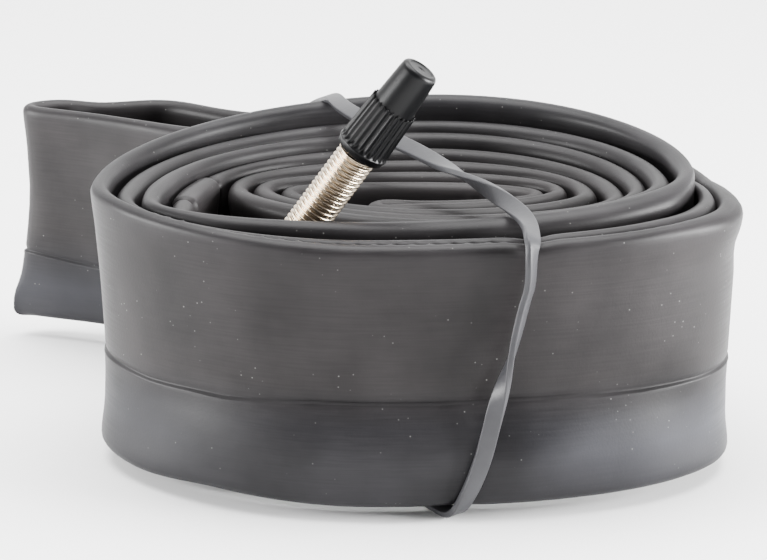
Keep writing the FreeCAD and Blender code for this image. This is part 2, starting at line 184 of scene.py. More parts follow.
def resampled(points, keys, step_of):
    """Points along the closed route, spaced by step_of(place, key, bend radius)."""
    closed = np.vstack([points, points[:1]])
    along = np.concatenate([[0], np.cumsum(np.linalg.norm(np.diff(closed, axis=0), axis=1))])
    dense = np.linspace(0, along[-1], SAMPLES + 1)[:-1]
    place = np.stack([np.interp(dense, along, closed[:, i]) for i in range(3)], axis=1)
    place = averaged(place, 6)
    key_index = np.searchsorted(along, dense, side="right") - 1
    heading = np.roll(place, -4, axis=0) - np.roll(place, 4, axis=0)
    heading[:, 2] = 0
    heading /= np.linalg.norm(heading, axis=1)[:, None]
    turn = np.linalg.norm(np.roll(heading, -4, axis=0) - np.roll(heading, 4, axis=0), axis=1)
    radius = 8.0 * along[-1] / SAMPLES / np.maximum(turn, 1e-6)
    step = np.array([step_of(p, keys[k], r) for p, k, r in zip(place, key_index, radius)])
    step = averaged(step, 20)
    count = np.concatenate([[0], np.cumsum(1 / step)]) * along[-1] / SAMPLES
    total = int(round(count[-1]))
    picks = np.interp(np.arange(total) * count[-1] / total, count[:-1], np.arange(SAMPLES))
    index = picks.astype(int)
    share = (picks - index)[:, None]
    following = (index + 1) % SAMPLES
    stations = place[index] * (1 - share) + place[following] * share
    directions = heading[index] * (1 - share) + heading[following] * share
    directions /= np.linalg.norm(directions, axis=1)[:, None]
    station_arc = dense[index] + share[:, 0] * along[-1] / SAMPLES
    return stations, directions, station_arc, [keys[key_index[i]] for i in index]


def station_step(place, key, radius):
    """Closer stations on tight bends and where small marks need them."""
    marked = (key in (("front", 0), ("front", 1), ("right", 0), ("right", 1)) and place[1] < 16
              or key in (("back", 7), ("back", 8)) and place[0] > 12
              or key == ("left", 3) and place[1] < 46)
    return 0.45 if marked else float(np.clip(0.3 * radius, 0.5, 1.25))


route, route_keys = whole_ring()
centres, headings, arc, stretch = resampled(route, route_keys, station_step)
count = len(centres)
outer_turns = np.array([key in (("back", 0), ("back", 1), ("right", 0), ("right", 1)) for key in stretch])
corner_drop = np.interp(centres[:, 1], [10, 18, 27, 34, 42, 90], [0, 0.3, 0.5, 1.0, 1.9, 1.9])
centres[:, 2] -= outer_turns * corner_drop * smoothstep(6, 26, centres[:, 0])
sideways = np.stack([-headings[:, 1], headings[:, 0], np.zeros(count)], axis=1)
ring_length = arc[-1] + np.linalg.norm(centres[-1] - centres[0])


def clearances():
    """For both sides of every station: how far the next layer is, and how much its top edge differs."""
    gap = np.full((2, count), FAR)
    rise = np.zeros((2, count))
    for i in range(count):
        offset = centres[:, :2] - centres[i, :2]
        ahead = np.abs(offset @ headings[i, :2])
        across = offset @ sideways[i, :2]
        apart = np.abs(arc - arc[i])
        near = (ahead < 1.2) & (np.minimum(apart, ring_length - apart) > 4.5)
        for side, sign in enumerate((1, -1)):
            reach = across * sign
            found = np.where(near & (reach > 0.2), reach, FAR)
            j = int(np.argmin(found))
            gap[side, i] = found[j]
            rise[side, i] = centres[i, 2] - centres[j, 2]
    return gap, rise


gap, rise = clearances()


def eased(values, reach=3):
    """The lowest value nearby, smoothed: no layer grows into its neighbour."""
    low = np.minimum.reduce([np.roll(values, k) for k in range(-reach, reach + 1)])
    return averaged(low, reach)


def side_sizes():
    """Half-thickness of the puffed top edge, the pressed body and the lower edge, for both sides."""
    top_limit = np.full(count, 1.75)
    top_limit[[key == ("back", 2) for key in stretch]] = 2.1
    top_limit[[key == ("right", 2) for key in stretch]] = 2.7
    top_limit[[key[0] == "tail" for key in stretch]] = 1.7
    top_limit = np.where(outer_turns > 0, top_limit + 1.0 * smoothstep(22, 40, centres[:, 0]), top_limit)
    top_limit = averaged(top_limit, 12)
    sizes = []
    for side in range(2):
        free = smoothstep(1.6, 4.0, np.abs(rise[side]))
        share = gap[side] * 0.5 * (1 - free) + (gap[side] - 1.08) * free
        top = eased(np.clip(share * 0.97, 0.8, 3.0))
        body = eased(np.clip(gap[side] * 0.485, 0.8, 1.05))
        low = eased(np.clip(gap[side] * 0.485, 0.8, 1.45))
        sizes.append((np.minimum(top, top_limit), body, low))
    return sizes


def mark_at(positions, place, reach):
    """How near a place along the tube is to the nearest of some marks, 1 on it."""
    return np.exp(-(np.min(np.abs(place[:, None] - positions[None, :]), axis=1) / reach) ** 2)


def bump_line(place, table):
    """A value read from a table of (place, value) rows."""
    places, values = zip(*table)
    return np.interp(place, places, values)


SEAM_RELIEF = [(1.2, -0.02), (0.6, -0.14), (0.3, -0.3), (0.08, -0.26), (-0.1, 0.1), (-0.3, 0.14),
               (-0.75, 0.04)]
TAIL_SEAM_DROP = [(-61, -3.1), (-48.5, -4.5), (-30, -4.0), (4, 0)]
SEAM_DROP = [(-44, -0.2), (-35, -0.8), (-29, -0.8), (-23, -1.0), (-17, -0.6), (-10, -0.15), (26, 0),
             (31, -0.4), (37, -0.5), (44, -0.3), (54, -0.5)]


def tube_rows():
    """The tube's section at every station: rows of (half-thickness, height, side) and each row's place."""
    sizes = side_sizes()
    top_z = centres[:, 2].copy()
    low_z = np.maximum(top_z - FLAT_WIDTH, FLOOR)
    x, y = centres[:, 0], centres[:, 1]
    outermost = (smoothstep(40, 52, x) * smoothstep(42, 30, y) * 1.2 - smoothstep(-34, -44, x) * 0.2
                 - smoothstep(70, 80, y) * 0.4)
    on_tail = np.array([key[0] == "tail" for key in stretch])
    seam_z = SEAM_HEIGHT + np.where(on_tail, bump_line(x, TAIL_SEAM_DROP), bump_line(x, SEAM_DROP))
    wander = 0.25 * np.sin(arc * 0.11) + 0.15 * np.sin(arc * 0.31 + 1)
    seam_z = seam_z + wander * (0.25 + 0.75 * (gap.max(axis=0) < 60))
    rows = []
    for side, sign in enumerate((1, -1)):
        top, body, low = sizes[side]
        other = sizes[1 - side][0]
        free_side = gap[side] > 60
        puffed = np.where(free_side, 1.5 + np.maximum(outermost, -0.3), top)
        top = np.where(free_side, averaged(puffed, 6), top)
        upright = np.clip((top + other) / 2, 0.9, 2.2)
        fade = 6.0
        side_rows = []
        for degrees in (90, 72, 54, 36, 18, 0):
            turn = math.radians(degrees)
            side_rows.append((top * math.cos(turn), top_z - upright * (1 - math.sin(turn))))
        for share in (0.1, 0.22, 0.36, 0.52, 0.7, 1):
            half = body + (top - body) * (0.5 + 0.5 * math.cos(math.pi * share))
            side_rows.append((half, top_z - upright - fade * share))
        upper = top_z - upright - fade
        for share in (0.2, 0.4, 0.6, 0.8):
            side_rows.append((body, upper * (1 - share) + (seam_z + 1.2) * share))
        for rise_mm, relief in SEAM_RELIEF:
            side_rows.append((np.maximum(body + relief, 0.5), seam_z + rise_mm))
        lower_upright = 1.35
        lower = low_z + lower_upright + 5.0
        for share in (0.35, 0.7):
            side_rows.append((body, (seam_z - 0.8) * (1 - share) + lower * share))
        for share in (1, 0.7, 0.4, 0.2):
            half = body + (low - body) * (0.5 + 0.5 * math.cos(math.pi * share))
            side_rows.append((half, low_z + lower_upright + 5.0 * share))
        for degrees in (0, 20, 42, 66, 90):
            turn = math.radians(degrees)
            side_rows.append((low * math.cos(turn), low_z + lower_upright * (1 - math.sin(turn))))
        rows.append((sign, side_rows))
    return rows


LEFT_LEAN = [(-2, 0.7), (1, 0.8), (5.5, 1.0), (11, 1.3), (17, 1.4), (26, 0.95), (34, 0.3), (40, 0)]
RIGHT_LEAN = [(-2, -0.1), (3.8, -0.2), (11.6, -0.25), (20, 0.1), (29.5, 0.5), (36, 0)]
FRONT_DISH = [(-2, 0.8), (1.5, -0.2), (6, -1.1), (10, -0.8), (14.0, 0.6), (16, 1.3), (19, 1.0), (25, 0.75),
              (31, 0.35), (36, 0)]
TAIL_WAIST = [(-2, -0.2), (4.3, -0.3), (8.3, 1.0), (15.5, 2.2), (23, 2.9), (31.8, 2.6), (39, 2.2)]
TAIL_FACE = [(-2, 4.2), (3, 3.8), (8, 2.2), (15, 0.9), (23, 0.5), (31, 0.2), (39, 0)]


def settled(points):
    """The roll's outer layers as they really stand: leaning, dished, and pressed in by the band."""
    x, y, z = points[:, 0], points[:, 1], points[:, 2]
    dx = bump_line(z, LEFT_LEAN) * smoothstep(-14, -42, x) * (1 - smoothstep(50, 76, y))
    dx += bump_line(z, RIGHT_LEAN) * smoothstep(24, 50, x)
    dy = bump_line(z, FRONT_DISH) * smoothstep(16, 0, y) * smoothstep(54, 40, x) * smoothstep(-44, -32, x)
    tail_share = smoothstep(-43, -61, x) * smoothstep(76, 82, y)
    dx += bump_line(z, TAIL_WAIST) * tail_share
    dy += bump_line(z, TAIL_FACE) * smoothstep(-27, -44, x) * smoothstep(72, 76, y) * smoothstep(92, 86, y)
    dz = 1.5 * (1 - z / 39) * smoothstep(-34, -48, x) * smoothstep(66, 74, y)
    lower_left = smoothstep(14, 0, z) * smoothstep(-24, -40, x) * (1 - smoothstep(40, 60, y))
    dz -= 1.6 * lower_left * (z > FLOOR + 1.7)
    # the band: it crosses the front from the top right to the lower left
    band_x = np.interp(z, [-2, 3, 10, 18, 28, 40], [10.0, 11.0, 14.6, 17.6, 19.6, 21.0])
    off = x - band_x
    front = smoothstep(9, -1, y)
    pinch = np.exp(-(off / 3.2) ** 2)
    low = smoothstep(9, -1, z)
    dy += (0.25 + 0.3 * low) * pinch * front
    dy -= 0.75 * np.exp(-((off - 9.5) / 6.5) ** 2) * np.exp(-((z - 6.5) / 4.5) ** 2) * front
    dy -= 0.3 * np.exp(-((off + 9) / 5) ** 2) * np.exp(-((z - 5) / 4) ** 2) * front
    dz -= 0.55 * np.exp(-(off / 2.6) ** 2) * smoothstep(30, 38, z) * smoothstep(12, 4, y)
    return points + np.stack([dx, dy, dz], axis=1)


def clear_of_rim_nut(points):
    """Pushes the layers out of the space that the rim nut runs through."""
    along = (points - VALVE_START) @ VALVE_DIRECTION
    radial = points - VALVE_START - along[:, None] * VALVE_DIRECTION
    distance = np.linalg.norm(radial, axis=1)
    share = smoothstep(-13, -10.8, along) * smoothstep(-0.4, -2.2, along)
    push = np.clip(NUT_CLEARANCE - distance, 0, None) * share
    return points + radial * (push / np.maximum(distance, 0.01))[:, None]


def to_mesh(name, points, faces, uv=None):
    """A smooth mesh of points in mm, with its faces turned outward."""
    mesh = bpy.data.meshes.new(name)
    mesh.from_pydata((np.asarray(points) * MM).tolist(), [], faces)
    mesh.update()
    if uv is not None:
        layer = mesh.uv_layers.new(name="along")
        loops = np.empty(len(mesh.loops), np.int32)
        mesh.loops.foreach_get("vertex_index", loops)
        layer.data.foreach_set("uv", np.asarray(uv, np.float32)[loops].ravel())
    bm = bmesh.new()
    bm.from_mesh(mesh)
    bmesh.ops.recalc_face_normals(bm, faces=bm.faces)
    bm.to_mesh(mesh)
    bm.free()
    mesh.polygons.foreach_set("use_smooth", [True] * len(mesh.polygons))
    made = bpy.data.objects.new(name, mesh)
    bpy.context.scene.collection.objects.link(made)
    return made


def grid_faces(rows, columns):
    """Quads over a grid of points, rows by columns, closed both ways."""
    faces = []
    for i in range(rows):
        for j in range(columns):
            following, beside = (i + 1) % rows, (j + 1) % columns
            faces.append((i * columns + j, i * columns + beside, following * columns + beside,
                          following * columns + j))
    return faces


def make_tube():
    """The tube: one closed skin along the whole ring, with its seam, vent marks and splice."""
    (left_sign, left_rows), (right_sign, right_rows) = tube_rows()
    loop = [(left_sign, row) for row in left_rows] + [(right_sign, row) for row in right_rows[-2:0:-1]]
    columns = len(loop)
    nubs = np.arange(0, ring_length, NUB_SPACING)
    nubs = nubs + rng.normal(0, 0.12, len(nubs))
    nub = mark_at(nubs, arc, 0.45)
    nub_size = np.interp(arc, nubs, rng.uniform(0.35, 1.0, len(nubs)))
    on_front = np.array([key in (("front", 0), ("right", 0), ("front", 1), ("right", 1)) for key in stretch])
    on_front = on_front * smoothstep(16, 8, centres[:, 1]) * (0.2 + 0.8 * smoothstep(24, 14, centres[:, 0]))
    on_splice = np.array([key == ("left", 3) for key in stretch])
    along_side = centres[:, 1]
    splice = (on_splice * smoothstep(SPLICE_START, SPLICE_START + 0.4, along_side)
              * smoothstep(SPLICE_END, SPLICE_END - 0.4, along_side))
    edge = on_splice * sum(np.exp(-((along_side - end) / 0.35) ** 2) for end in (SPLICE_START, SPLICE_END))
    on_dashed = np.array([key in (("back", 7), ("back", 8)) for key in stretch])
    dashes = on_dashed * smoothstep(10, 14, centres[:, 0])
    points = np.empty((count, columns, 3))
    uv = np.empty((count, columns, 2))
    for j, (sign, (half, height)) in enumerate(loop):
        half = np.broadcast_to(half, (count,)).copy()
        height = np.broadcast_to(height, (count,)).copy()
        depth = centres[:, 2] - height
        near_top = np.exp(-((depth - 0.45) / 0.4) ** 2)
        height += 0.42 * nub * nub_size * on_front * near_top * (sign < 0)
        half += (0.32 * splice - 0.5 * edge) * (half > 0.7) * np.exp(-(depth / 30) ** 4)
        height += (0.25 * splice - 0.4 * edge) * np.exp(-(depth / 1.5) ** 2)
        half += dashes * 0.4 * (nub > 0.35) * np.exp(-((depth - 2.6) / 0.6) ** 2)
        points[:, j] = centres + sideways * (half * sign)[:, None]
        points[:, j, 2] = height
        uv[:, j, 0] = arc * 0.01
        uv[:, j, 1] = height * 0.01 + (0.5 if sign < 0 else 0)
    flat = clear_of_rim_nut(settled(points.reshape(-1, 3)) + SHIFT)
    flat[:, 2] = np.maximum(flat[:, 2], 0.02)
    return to_mesh("tube_rubber", flat, grid_faces(count, columns), uv.reshape(-1, 2))


# ---------------------------------------------------------------- the rubber band
# The band's middle line round the pack, and its roll about that line in degrees: 0 lies flat on the pack.
BAND_LINE = [
    (20.8, -4.8, 37.4, 44), (20.6, -4.7, 33.5, 44), (19.9, -4.6, 30.8, 44), (18.9, -4.6, 26.5, 48),
    (18.0, -4.7, 22.5, 66), (17.1, -4.9, 19.3, 98), (16.1, -5.1, 15.8, 134), (15.0, -5.0, 11.1, 154),
    (14.1, -4.8, 7.6, 164), (12.2, -4.1, 2.4, 176), (10.4, -2.4, -0.9, 180),
    (7.2, 3.0, -1.45, 180), (-6.0, 40.0, -1.45, 180), (-19.5, 78.0, -1.45, 180), (-22.6, 83.4, 0.6, 180),
    (-22.6, 85.0, 6.0, 180), (-18.4, 84.2, 22.0, 180), (-13.8, 83.3, 38.0, 180), (-12.6, 81.0, 40.0, 180),
    (-10.2, 76.0, 42.6, 180), (-8.2, 69.6, 44.4, 178), (-6.3, 62.6, 44.4, 172), (-2.4, 54.0, 43.9, 164),
    (1.2, 46.4, 43.1, 162), (5.0, 39.6, 42.7, 164), (9.0, 31.6, 42.3, 186), (12.0, 25.4, 42.0, 228),
    (15.4, 18.0, 41.8, 276), (18.4, 10.8, 41.4, 326), (20.3, 4.8, 40.9, 362), (20.9, -0.6, 40.3, 394),
    (20.9, -3.9, 39.4, 403),
]
BAND_WIDTH = 2.5
BAND_THICKNESS = 0.95


def make_band():
    """The flat rubber band, half a turn twisted over the top and half a turn over the front."""
    line = np.array(BAND_LINE, float)
    unrolled = band_curve(line)
    places, rolls = unrolled[:, :3], unrolled[:, 3]
    n = len(places)
    ahead = np.roll(places, -1, axis=0) - np.roll(places, 1, axis=0)
    ahead /= np.linalg.norm(ahead, axis=1)[:, None]
    middle = np.array((4.0, 39.0, 19.0))
    outward = places - middle
    plane = np.cross((21 + 13, -4 - 83, 0), (-9.6, 0, 40))
    plane = plane / np.linalg.norm(plane)
    flat_up = np.cross(np.broadcast_to(plane, ahead.shape), ahead)
    flat_up /= np.linalg.norm(flat_up, axis=1)[:, None]
    flip = np.sign(np.sum(flat_up * outward, axis=1))[:, None]
    flat_up = flat_up * flip
    level = np.cross(ahead, flat_up)
    level /= np.linalg.norm(level, axis=1)[:, None]
    section = []
    half_w, half_t, round_mm = BAND_WIDTH / 2, BAND_THICKNESS / 2, 0.22
    corners = ((half_w, half_t, 0), (-half_w, half_t, 90), (-half_w, -half_t, 180), (half_w, -half_t, 270))
    for cx, cy, start in corners:
        for k in range(4):
            turn = math.radians(start + k * 30)
            section.append((cx - math.copysign(round_mm, cx) + round_mm * math.cos(turn),
                            cy - math.copysign(round_mm, cy) + round_mm * math.sin(turn)))
    points = np.empty((n, len(section), 3))
    turn = np.radians(rolls)
    across = level * np.cos(turn)[:, None] + flat_up * np.sin(turn)[:, None]
    over = flat_up * np.cos(turn)[:, None] - level * np.sin(turn)[:, None]
    for j, (a, b) in enumerate(section):
        points[:, j] = places + across * a + over * b
    return band_mesh(points, len(section))


def band_curve(line):
    """The band's curve with its roll unwrapped: the roll ends a full turn on, which is the same section."""
    n = len(line)
    padded = np.vstack([line[-1] - (0, 0, 0, 360), line, line[0] + (0, 0, 0, 360), line[1] + (0, 0, 0, 360)])
    rows = []
    for i in range(1, n + 1):
        a, b, c, d = padded[i - 1], padded[i], padded[i + 1], padded[i + 2]
        near, mid, far = (max(np.linalg.norm((q - p)[:3]), 1e-6) ** 0.5 for p, q in ((a, b), (b, c), (c, d)))
        leave = ((b - a) / near - (c - a) / (near + mid) + (c - b) / mid) * mid
        meet = ((c - b) / mid - (d - b) / (mid + far) + (d - c) / far) * mid
        steps = max(6, int(np.linalg.norm((c - b)[:3]) / 0.6))
        rows.append(bezier(b, b + leave / 3, c - meet / 3, c, steps)[:-1])
    return np.concatenate(rows)


def band_mesh(points, columns):
    flat = points.reshape(-1, 3) + SHIFT
    flat[:, 2] = np.maximum(flat[:, 2], 0.02)
    return to_mesh("band", flat, grid_faces(len(points), columns))


# ---------------------------------------------------------------- the valve
VALVE_START = np.array((-10.9, 16.3, 37.8)) + SHIFT
VALVE_AXIS = Vector((0.566, -0.15, 0.81)).normalized()
VALVE_DIRECTION = np.array(VALVE_AXIS)
NUT_CLEARANCE = 5.4
AXIS_RADIUS = 0.001
VALVE_TURN = np.array(Vector((0, 0, 1)).rotation_difference(VALVE_AXIS).to_matrix())


def lathe(name, profile, segments=72, shape=None, turn=0.0):
    """A solid of revolution on the valve's axis from a closed profile of (radius, height); shape(angle,
    radius, height) may change the radius and the height of any point."""
    angles = np.arange(segments) * 2 * math.pi / segments + turn
    profile = np.array(profile, float)
    points = np.empty((segments, len(profile), 3))
    for i, angle in enumerate(angles):
        radius, height = profile[:, 0].copy(), profile[:, 1].copy()
        if shape:
            radius, height = shape(angle, radius, height)
        points[i] = np.stack([radius * math.cos(angle), radius * math.sin(angle), height], axis=1)
    flat = points.reshape(-1, 3) @ VALVE_TURN.T + VALVE_START
    return to_mesh(name, flat, grid_faces(segments, len(profile)))


def run(start, end, step):
    """Evenly spaced (radius, height) points from start to end, without the end."""
    start, end = np.array(start, float), np.array(end, float)
    steps = max(1, int(round(np.linalg.norm(end - start) / step)))
    return [tuple(start + (end - start) * i / steps) for i in range(steps)]


def thread(outer, pitch, depth, start, end, sharp=1.0):
    """A shape for lathe: a right-handed thread on the outer radius between two heights."""
    def shaped(angle, radius, height):
        phase = ((height / pitch - angle / (2 * math.pi)) % 1.0)
        wave = 0.5 + 0.5 * np.cos(2 * math.pi * phase)
        wave = np.clip((wave - 0.5) * sharp + 0.5, 0, 1)
        fade = smoothstep(start, start + pitch, height) * smoothstep(end, end - pitch * 0.8, height)
        cut = depth * (1 - wave) * fade * (radius > outer - 0.02)
        return radius - cut, height
    return shaped


def make_stem():
    bore, socket, outer = 1.2, 2.35, 3.0
    profile = [(bore, -17.0), (4.0, -17.0), (4.2, -16.8), (4.2, -16.0), (4.0, -15.8), (outer, -15.8)]
    profile += run((outer, -15.7), (outer, -10.0), 0.8)
    profile += run((outer, -10.0), (outer, 12.8), 0.08)
    profile += [(outer, 12.8), (outer - 0.22, 13.1), (socket + 0.15, 13.1), (socket, 12.95)]
    profile += run((socket, 12.9), (socket, -1.2), 2.0) + [(socket, -1.2), (bore, -1.25)]
    profile += run((bore, -1.3), (bore, -17.0), 3.0)
    return lathe("stem_nickel", profile, 96, thread(outer, 0.8, 0.47, -9.8, 13.3, 1.25))


def make_core():
    bore, nose, body, top = 1.08, 1.9, 2.3, 2.6
    profile = [(bore, 3.5), (nose - 0.3, 3.5), (nose, 3.8), (nose, 5.9), (nose, 6.0)]
    profile += [(body - 0.15, 6.0), (body, 6.15)]
    profile += run((body, 6.2), (body, 13.0), 0.8) + [(body, 13.1), (top - 0.2, 13.1), (top, 13.3)]
    profile += run((top, 13.35), (top, 19.2), 0.09)
    profile += [(top, 19.2), (top - 0.3, 19.5), (bore + 0.25, 19.5), (bore, 19.3)]
    profile += run((bore, 19.2), (bore, 3.5), 2.0)
    cut_thread = thread(top, 1.0, 0.36, 13.3, 18.9, 1.3)

    def shaped(angle, radius, height):
        radius, height = cut_thread(angle, radius, height)
        flat = 2.12 / max(abs(math.cos(angle)), 1e-3)
        on_flat = (height > 16.3) & (radius > 2.0)
        return np.where(on_flat, np.minimum(radius, max(flat, 2.12)), radius), height
    return lathe("core_nickel", profile, 96, shaped)


def make_lock_nut():
    profile = [(1.06, 19.55), (1.6, 19.52), (1.85, 19.7)] + run((2.0, 19.85), (2.0, 21.4), 0.3)
    profile += [(2.0, 21.4), (1.8, 21.6), (1.45, 21.7), (1.2, 21.7), (1.06, 21.55)]
    profile += run((1.06, 21.3), (1.06, 19.6), 0.6)

    def knurl(angle, radius, height):
        cut = 0.13 * (0.5 + 0.5 * math.cos(angle * 18)) * (radius > 1.9)
        return radius - cut, height
    return lathe("lock_nut_nickel", profile, 108, knurl)


def make_pin():
    profile = [(AXIS_RADIUS, 1.5), (1.3, 1.5), (1.5, 1.65), (1.5, 2.2), (1.4, 2.28), (1.0, 2.3)]
    profile += run((1.0, 2.4), (1.0, 17.5), 1.5) + run((1.0, 17.5), (1.0, 23.2), 0.05)
    profile += [(1.0, 23.25), (0.9, 23.45), (0.7, 23.57), (AXIS_RADIUS, 23.6)]
    return lathe("pin_nickel", profile, 48, thread(1.0, 0.4, 0.16, 18.0, 23.3, 1.2))


def make_rim_nut():
    start, end = -10.4, -7.4
    profile = [(3.06, start), (4.6, start), (4.95, start + 0.25)]
    profile += run((5.0, start + 0.4), (5.0, end - 0.45), 0.3)
    profile += [(5.0, end - 0.4), (4.9, end - 0.2), (4.5, end), (3.5, end), (3.06, end - 0.4)]
    profile += run((3.06, end - 0.5), (3.06, start), 0.6)

    def knurl(angle, radius, height):
        return radius - 0.2 * (0.5 + 0.5 * math.cos(angle * 30)) * (radius > 4.9), height
    return lathe("rim_nut_nickel", profile, 180, knurl)


def make_cap():
    """The cap: a smooth ring, a ribbed skirt whose ribs stand up past its shoulder, and a smooth top."""
    mouth, ribs_start, shoulder, end = 13.1, 14.3, 21.7, 28.95
    outer = [(2.75, mouth), (3.55, mouth), (3.68, mouth + 0.08), (3.86, mouth + 0.75), (3.98, mouth + 1.0),
             (4.0, mouth + 1.12), (3.94, ribs_start)]
    outer += run((3.9, ribs_start + 0.08), (3.65, shoulder - 0.5), 0.45)
    rib_top = [(3.65, shoulder - 0.42), (3.64, shoulder - 0.2), (3.62, shoulder - 0.02),
               (3.5, shoulder + 0.02), (3.36, shoulder - 0.02), (3.26, shoulder + 0.02),
               (3.2, shoulder + 0.12)]
    top = run((3.19, shoulder + 0.4), (2.88, end - 1.0), 0.8)
    top += [(2.86, end - 0.95), (2.84, end - 0.7), (2.76, end - 0.42), (2.6, end - 0.2), (2.35, end - 0.05),
            (2.12, end), (1.95, end - 0.03), (1.86, end - 0.14), (1.7, end - 0.16), (0.9, end - 0.16),
            (AXIS_RADIUS, end - 0.16)]
    inner = [(AXIS_RADIUS, 27.9), (1.4, 27.9), (1.6, 27.7), (1.6, 24.8), (1.7, 24.6), (2.3, 24.6)]
    inner += [(2.4, 24.4)]
    inner += run((2.4, 24.2), (2.4, 19.6), 1.0) + [(2.5, 19.5), (2.65, 19.3)]
    inner += run((2.65, 19.2), (2.65, 13.4), 0.9)
    ribs = 24

    def ribbed(angle, radius, height):
        wave = 0.5 + 0.5 * math.cos(angle * ribs)
        rib = wave ** 1.6
        on_skirt = (radius > 3.3) * (height < shoulder + 0.1)
        cut = 0.34 * (1 - rib) * on_skirt * smoothstep(ribs_start - 0.02, ribs_start + 0.35, height)
        tooth = 0.42 * rib * (height > shoulder - 0.25) * (height < shoulder + 0.1) * (radius > 3.3)
        return radius - cut, height + tooth
    return lathe("cap_plastic_body", outer + rib_top + top + inner, 24 * 10, ribbed)


# ---------------------------------------------------------------- materials
def material(name, base, roughness, metallic=0.0, **sockets):
    made = bpy.data.materials.new(name)
    made.use_nodes = True
    shader = made.node_tree.nodes["Principled BSDF"]
    shader.inputs["Base Color"].default_value = (*base, 1)
    shader.inputs["Roughness"].default_value = roughness
    shader.inputs["Metallic"].default_value = metallic
    for socket, value in sockets.items():
        shader.inputs[socket.replace("_", " ")].default_value = value
    return made, made.node_tree, shader


def node(tree, kind, **values):
    made = tree.nodes.new(kind)
    for name, value in values.items():
        socket = name.replace("_", " ")
        if socket in made.inputs:
            made.inputs[socket].default_value = value
        else:
            setattr(made, name, value)
    return made


def noise(tree, source, scale, detail=3.0):
    made = node(tree, "ShaderNodeTexNoise", Scale=scale, Detail=detail)
    tree.links.new(source, made.inputs["Vector"])
    return made.outputs["Fac"]


def ramp(tree, source, stops):
    made = tree.nodes.new("ShaderNodeValToRGB")
    elements = made.color_ramp.elements
    while len(elements) < len(stops):
        elements.new(0.5)
    for element, (place, colour) in zip(elements, stops):
        element.position = place
        element.color = (*colour, 1) if len(colour) == 3 else colour
    tree.links.new(source, made.inputs["Fac"])
    return made.outputs["Color"]


def mixed(tree, kind, share, one, other):
    """Two colours mixed; share, one and other are sockets or values."""
    made = tree.nodes.new("ShaderNodeMix")
    made.data_type = "RGBA"
    made.blend_type = kind
    for slot_name, value in (("Factor", share), ("A", one), ("B", other)):
        sockets = [s for s in made.inputs if s.name == slot_name and s.enabled]
        socket = sockets[0]
        if isinstance(value, bpy.types.NodeSocket):
            tree.links.new(value, socket)
        else:
            socket.default_value = value if slot_name == "Factor" else (*value, 1)
    return [s for s in made.outputs if s.enabled][0]


def bumped(tree, shader, source, strength, distance):
    made = node(tree, "ShaderNodeBump", Strength=strength, Distance=distance)
    tree.links.new(source, made.inputs["Height"])
    tree.links.new(made.outputs["Normal"], shader.inputs["Normal"])


